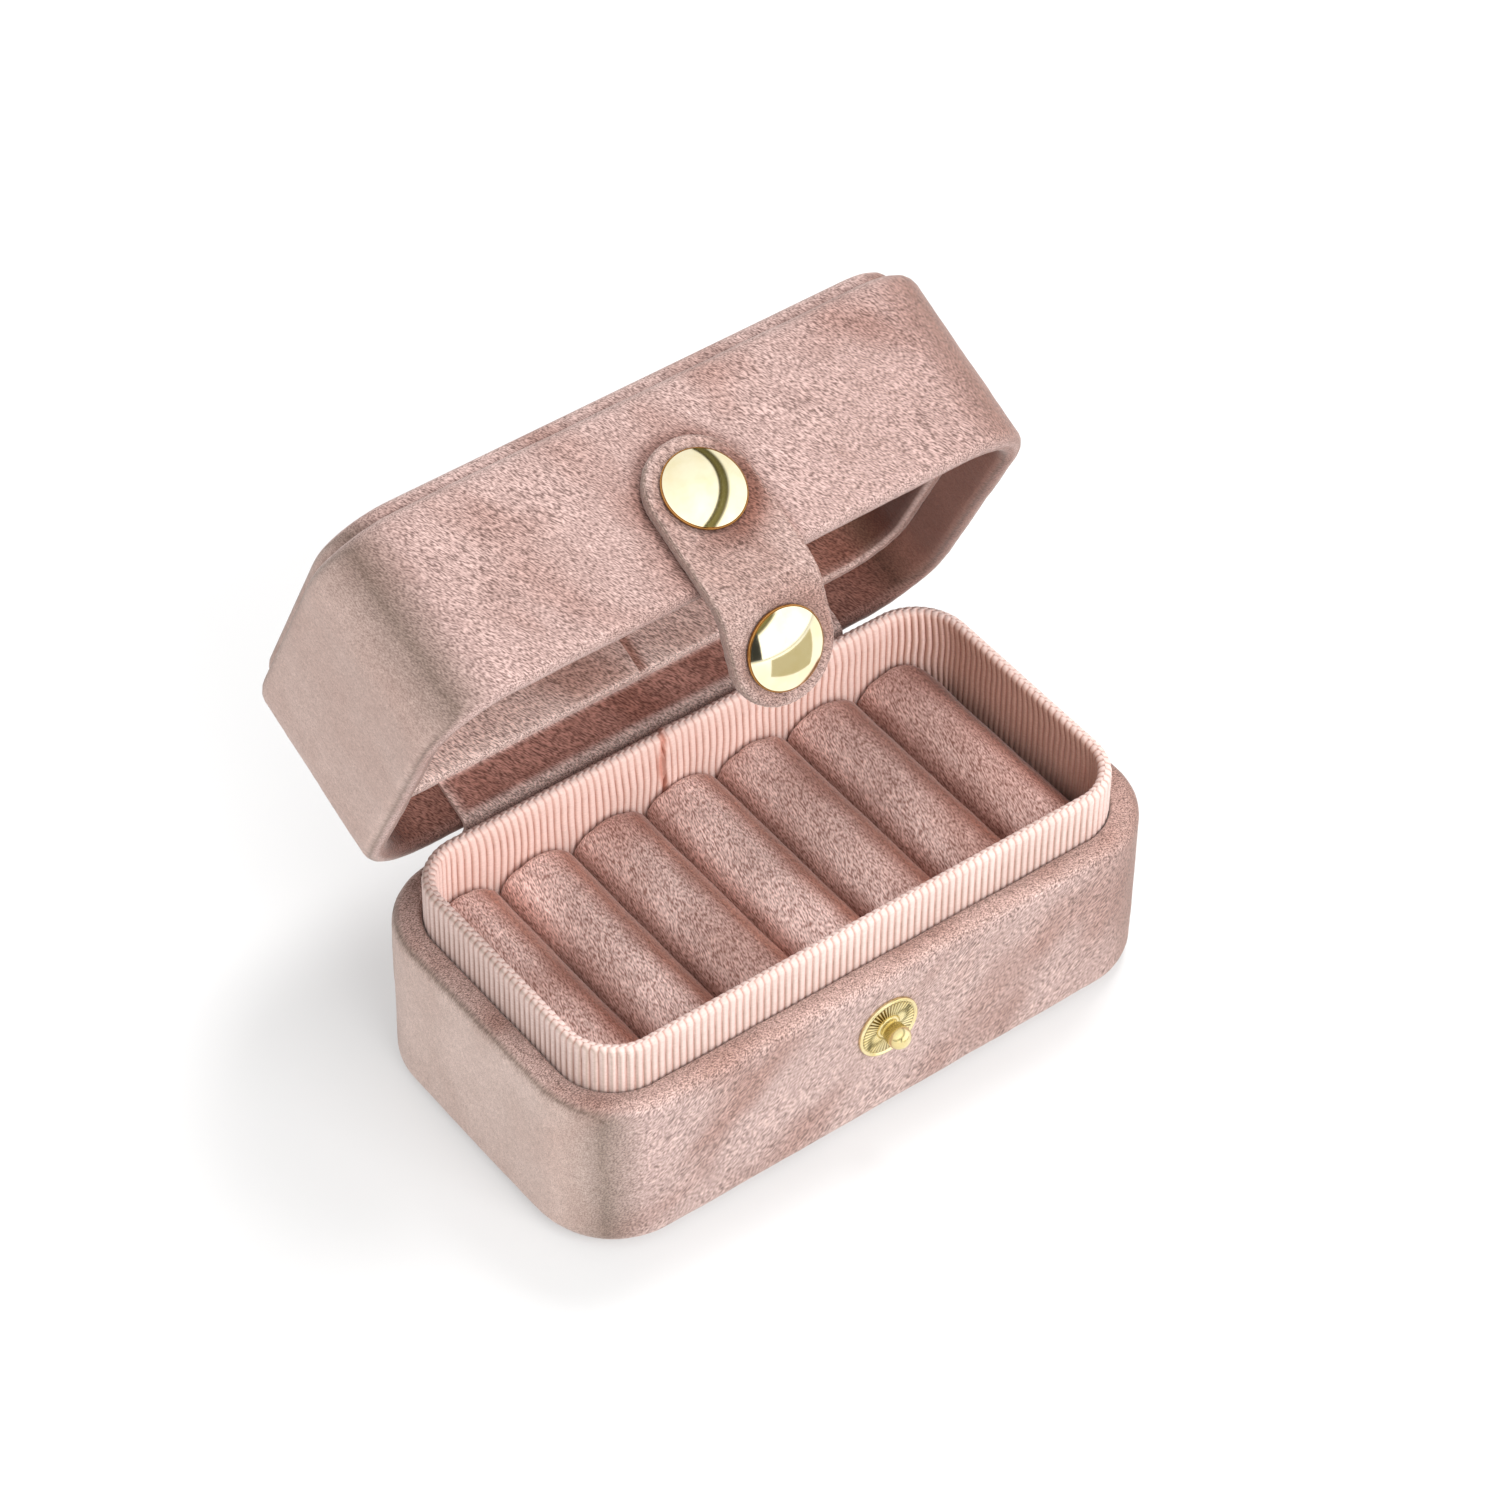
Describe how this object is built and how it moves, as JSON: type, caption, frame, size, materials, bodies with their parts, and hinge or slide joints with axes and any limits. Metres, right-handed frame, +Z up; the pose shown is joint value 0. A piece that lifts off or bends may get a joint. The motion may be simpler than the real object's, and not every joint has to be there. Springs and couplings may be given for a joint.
{
  "type": "velvet ring box",
  "caption": "Small velvet-covered travel ring box with a hinged lid, a ribbed ribbon collar, a row of padded ring rolls and a snap-fastened strap.",
  "frame": {"origin": "middle of the underside that the box rests on", "axes": "+X along the row of rolls, -Y to the front with the snap, +Z up"},
  "size_m": [0.1, 0.0863, 0.0898],
  "materials": {
    "velvet": "dusty rose short-pile velvet",
    "ribbon": "ribbed pale pink ribbon",
    "foam": "soft foam",
    "card": "grey board",
    "moulded_frame": "matte moulding",
    "gilt_brass": "polished pale gold",
    "plain_brass": "plain brass"
  },
  "bodies": {
    "base": {"base_frame": "moulded_frame", "base_velvet_wrap": "velvet", "bottom_panel": "velvet", "collar_card": "card", "collar_ribbon": "ribbon", "foam_bed": "foam", "ring_roll_core_1": "foam", "ring_roll_core_2": "foam", "ring_roll_core_3": "foam", "ring_roll_core_4": "foam", "ring_roll_core_5": "foam", "ring_roll_core_6": "foam", "ring_roll_core_7": "foam", "ring_roll_cover_1": "velvet", "ring_roll_cover_2": "velvet", "ring_roll_cover_3": "velvet", "ring_roll_cover_4": "velvet", "ring_roll_cover_5": "velvet", "ring_roll_cover_6": "velvet", "ring_roll_cover_7": "velvet", "snap_stud": "gilt_brass", "snap_stud_back": "plain_brass", "hinge_strip": "velvet"},
    "lid": {"lid_frame": "moulded_frame", "lid_velvet_wrap": "velvet", "lid_top_panel": "velvet", "lid_liner_band": "velvet", "lid_ceiling_pad": "velvet", "rivet_cap": "gilt_brass", "rivet_back": "plain_brass", "strap_anchor": "velvet"},
    "strap_bend": {"strap_link": "velvet"},
    "strap_end": {"strap_tongue": "velvet", "snap_cap": "gilt_brass", "snap_socket": "plain_brass"}
  },
  "joints": [
    {"name": "lid_hinge", "type": "hinge", "parent": "base", "child": "lid", "pos_m": [0, 0.0275, 0.0283], "axis": [-1, 0, 0], "range_deg": [-65, 20], "deforming": ["hinge_strip"]},
    {"name": "strap_fold", "type": "hinge", "parent": "lid", "child": "strap_bend", "pos_m": [-0.0008, 0.00279, 0.07846], "axis": [-1, 0, 0], "range_deg": [-22, 70.5]},
    {"name": "strap_snap", "type": "hinge", "parent": "strap_bend", "child": "strap_end", "pos_m": [-0.0008, 0.0007, 0.07748], "axis": [-1, 0, 0], "range_deg": [-26, 44]}
  ],
  "couplings": [
    {"joint": "strap_fold", "follows": "lid_hinge", "ratio": -1.0769}
  ]
}
